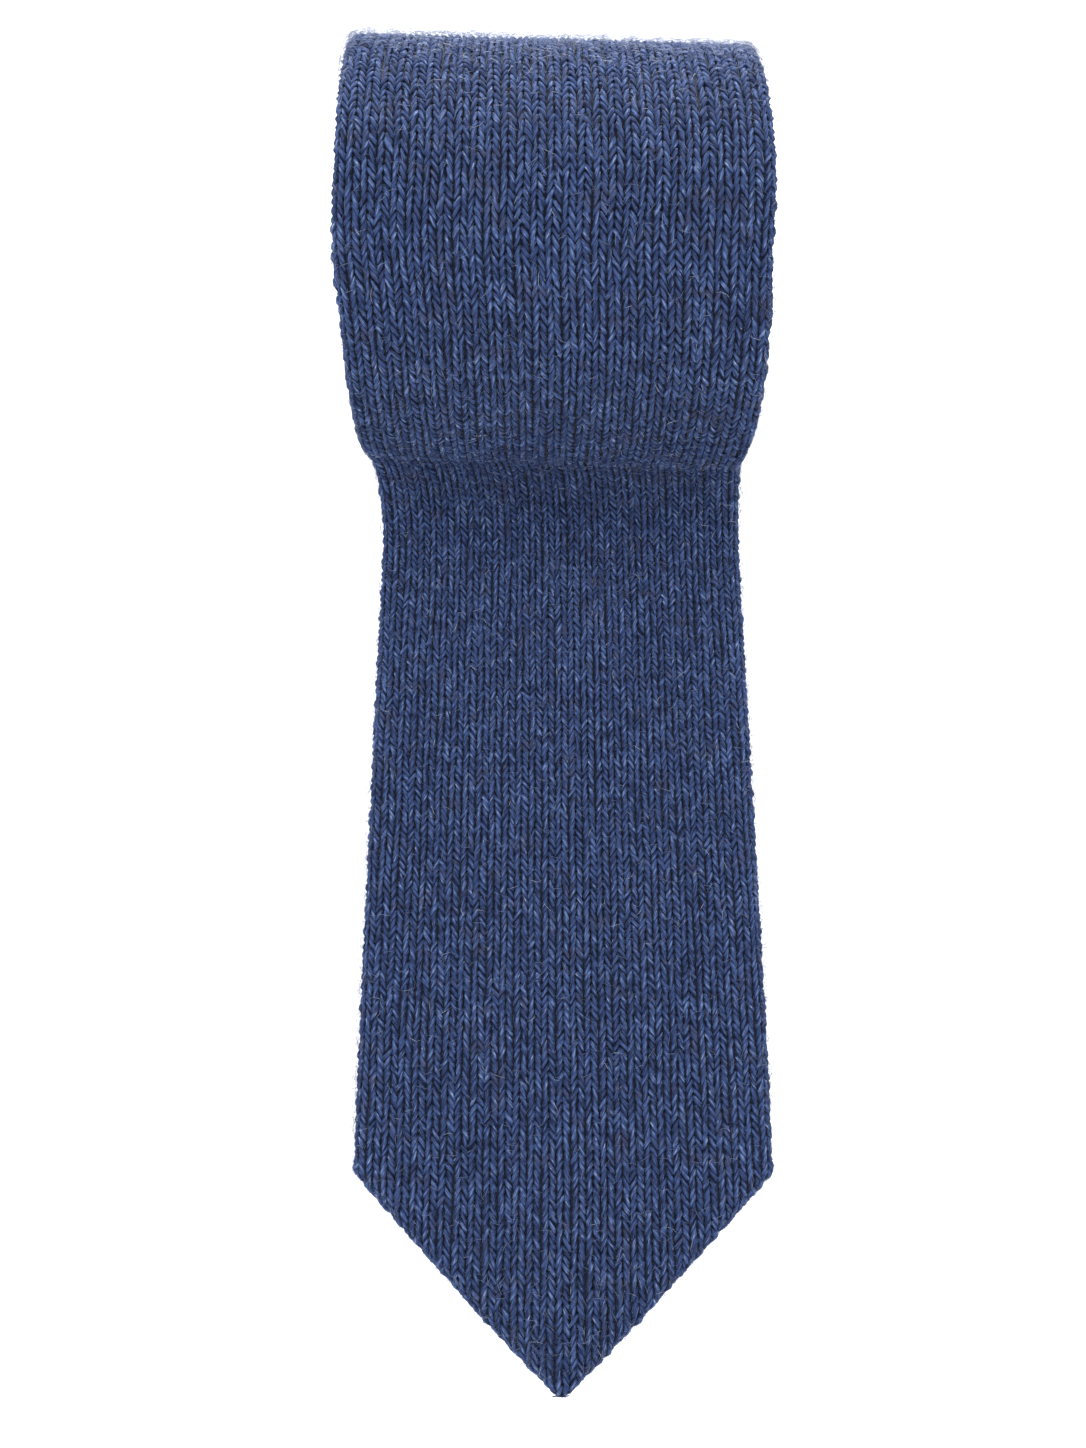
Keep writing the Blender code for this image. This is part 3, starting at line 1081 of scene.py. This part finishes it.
@dataclass
class Fuzz:
    """Loose fibres that lie over the cloth and stand off its edges, paler along the roll's top as a
    painted highlight.
    """

    knit: Knit
    hair: GrainShape = GrainShape(
        sides=3, half_length=0.0016, half_width=0.000026, half_height=0.000026, dip=0.0,
        rings=((-0.35, 1.0, 0.0), (0.35, 1.0, 0.0)),
    )
    lying: int = 7500
    standing: int = 4800
    # crest: fibres along the top of the roll, given paler tones as a painted highlight of the grazing
    # light there.
    crest: int = 4000
    crest_run: float = 0.2955
    crest_spread: float = 0.0075
    last_run: float = 0.34
    fade: float = 0.10
    fold_run: float = 0.200
    fold_length: float = 0.016
    fold_calm: float = 0.85
    first_run: float = 0.0035

    def make(self, grain: Grain) -> Piece:
        """Makes the fibres.

        Args:
            grain: One straight fibre.

        Returns:
            The piece.
        """
        chance = np.random.default_rng(5)
        knit = self.knit
        count = self.lying + self.standing + self.crest
        stands = np.arange(count) >= self.lying
        on_crest = np.arange(count) >= self.lying + self.standing
        run = chance.uniform(0.0, self.last_run, count) + self.fade * chance.uniform(-0.5, 0.5, count)
        crest = chance.normal(self.crest_run, self.crest_spread, count)
        run = np.where(on_crest, crest, self.first_run + np.abs(run))
        flat, _, _, arc = knit.section(run)
        side = chance.choice((-1.0, 1.0), count)
        face = chance.uniform(0.0, 1.0, count) * (flat + arc * 1.2)
        edge = flat + arc * chance.uniform(0.5, 2.0, count)
        along = side * np.where(stands & ~on_crest, edge, face)
        lean = chance.uniform(0.0, math.pi, count)
        length = chance.uniform(0.45, 1.25, count)
        fine = np.where(stands, 0.75, 1.0)
        points = grain.points[None, :, :] * np.stack((fine, length, fine), -1)[:, None, :]
        share = points[..., 1] / self.hair.half_length
        curl = chance.normal(0.0, 0.0005, count)[:, None] * (1.0 - share ** 2)
        across = points[..., 0] + curl
        high = chance.uniform(0.0003, 0.0015, count)
        rise = np.where(stands, high, chance.uniform(0.0001, 0.0005, count))
        near_fold = np.exp(-((run - self.fold_run) / self.fold_length) ** 2)
        rise = rise * (1.0 - self.fold_calm * near_fold)
        bow = np.where(stands, rise, 0.6 * rise)[:, None] * (1.0 - share ** 2) - 0.0001
        aside, ahead = turned(across, points[..., 1], lean)
        places = knit.surface(
            along[:, None] + aside, np.maximum(run[:, None] + ahead, 0.0001), bow + points[..., 2]
        )
        tone = chance.uniform(0.0, 1.0, count)
        # Crest fibres get the paler tones, a painted highlight along the top of the roll.
        return grain.lay("loose_fibres", places, np.where(on_crest, 0.6 + 0.4 * tone, tone))


@dataclass(frozen=True)
class Lamp:
    """A square soft light that faces the tie: its place, the length of its sides and its watts."""

    name: str
    place: Triple
    size: float
    power: float

    def hang(self) -> None:
        """Hangs the light."""
        lamp = bpy.data.lights.new(self.name, "AREA")
        lamp.shape = "SQUARE"
        lamp.size = self.size
        lamp.energy = self.power
        light = bpy.data.objects.new(self.name, lamp)
        light.location = self.place
        x, y, z = self.place
        light.rotation_euler = (math.atan2(math.hypot(x, y), z), 0.0, math.atan2(x, -y))
        bpy.context.collection.objects.link(light)


@dataclass
class Studio:
    """The table, the light and the camera."""

    floor_drop: float = 0.0001
    floor_size: float = 3.0
    room_light: float = 0.44
    lamps: tuple[Lamp, ...] = (
        Lamp("light_above", (-0.05, -0.10, 0.80), 0.50, 1.35),
        Lamp("light_left", (-0.34, 0.08, 0.30), 0.30, 1.05),
        Lamp("light_right", (0.34, 0.08, 0.30), 0.30, 1.05),
        Lamp("light_front", (0.0, -0.48, 0.42), 0.40, 1.35),
        Lamp("light_behind", (0.0, 0.75, 0.20), 0.25, 9.0),
    )
    aim: Triple = (-0.00351, 0.00037, 0.0)
    distance: float = 0.2637
    tilt: float = math.radians(16.1)
    lens: float = 20.71
    film: float = 24.0

    def lay_floor(self) -> Piece:
        """Returns the table, a little below the tie."""
        bpy.ops.object.select_all(action="DESELECT")
        bpy.ops.mesh.primitive_plane_add(size=self.floor_size, location=(0.0, 0.0, -self.floor_drop))
        floor = bpy.context.object
        floor.name = "floor"
        go_to("EDIT")
        bpy.ops.mesh.subdivide(number_cuts=3)
        go_to("OBJECT")
        bpy.ops.object.transform_apply()
        floor.data.materials.append(FloorFinish().make())
        return floor

    def light(self) -> None:
        """Hangs the soft lights and sets the room's even light."""
        world = bpy.data.worlds.new("studio")
        world.use_nodes = True
        background = world.node_tree.nodes["Background"]
        background.inputs["Color"].default_value = (1.0, 1.0, 1.0, 1.0)
        background.inputs["Strength"].default_value = self.room_light
        bpy.context.scene.world = world
        for lamp in self.lamps:
            lamp.hang()

    def place_camera(self) -> None:
        """Sets the camera at the photograph's place."""
        lens = bpy.data.cameras.new("camera")
        lens.sensor_fit = "VERTICAL"
        lens.sensor_height = self.film
        lens.lens = self.lens
        lens.clip_start = 0.01
        camera = bpy.data.objects.new("camera", lens)
        camera.location = (
            self.aim[0],
            self.aim[1] - self.distance * math.sin(self.tilt),
            self.aim[2] + self.distance * math.cos(self.tilt),
        )
        camera.rotation_euler = (self.tilt, 0.0, 0.0)
        bpy.context.collection.objects.link(camera)
        bpy.context.scene.camera = camera


def triangles(piece: Piece) -> int:
    """Returns how many triangles a piece has."""
    return sum(len(face.vertices) - 2 for face in piece.data.polygons)


def dress(piece: Piece, material: bpy.types.Material) -> Piece:
    """Gives a piece its material and lets it ride on the tie.

    Args:
        piece: The piece.
        material: Its material.

    Returns:
        The piece.
    """
    piece.data.materials.append(material)
    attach(piece, "root")
    log.info("%s: %d triangles", piece.name, triangles(piece))
    return piece


def main() -> None:
    """Builds the tie's cloth, stitches and fibres, and the studio round them."""
    logging.basicConfig(level=logging.INFO, format="%(name)s %(message)s")
    sizes = TieSizes()
    knit = Knit(sizes, TieRoute(sizes))
    studio = Studio()
    studio.place_camera()
    yarn = YarnFinish().make()

    cloth = dress(Cloth(knit).make(), ClothFinish().make())
    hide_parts("knitted_tie")

    stitches = Stitches(knit)
    leg, small_leg = stitches.leg.model(), stitches.small_leg.model()
    waves = stitches.wander(np.random.default_rng(11))
    for seed, stretch in enumerate(Stretch):
        grain = small_leg if stretch is Stretch.BACK_OF_ROLL else leg
        dress(stitches.make(stretch, grain, waves, seed + 1), yarn)
    edges = CoilEdges(knit)
    dress(edges.make(edges.leg.model()), yarn)
    binding = PointBinding(knit)
    dress(binding.make(binding.leg.model()), yarn)
    fuzz = Fuzz(knit)
    dress(fuzz.make(fuzz.hair.model()), FuzzFinish().make())

    studio.lay_floor()
    studio.light()
    bpy.context.scene.view_settings.view_transform = "Standard"

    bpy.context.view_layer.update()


if __name__ == "__main__":
    main()
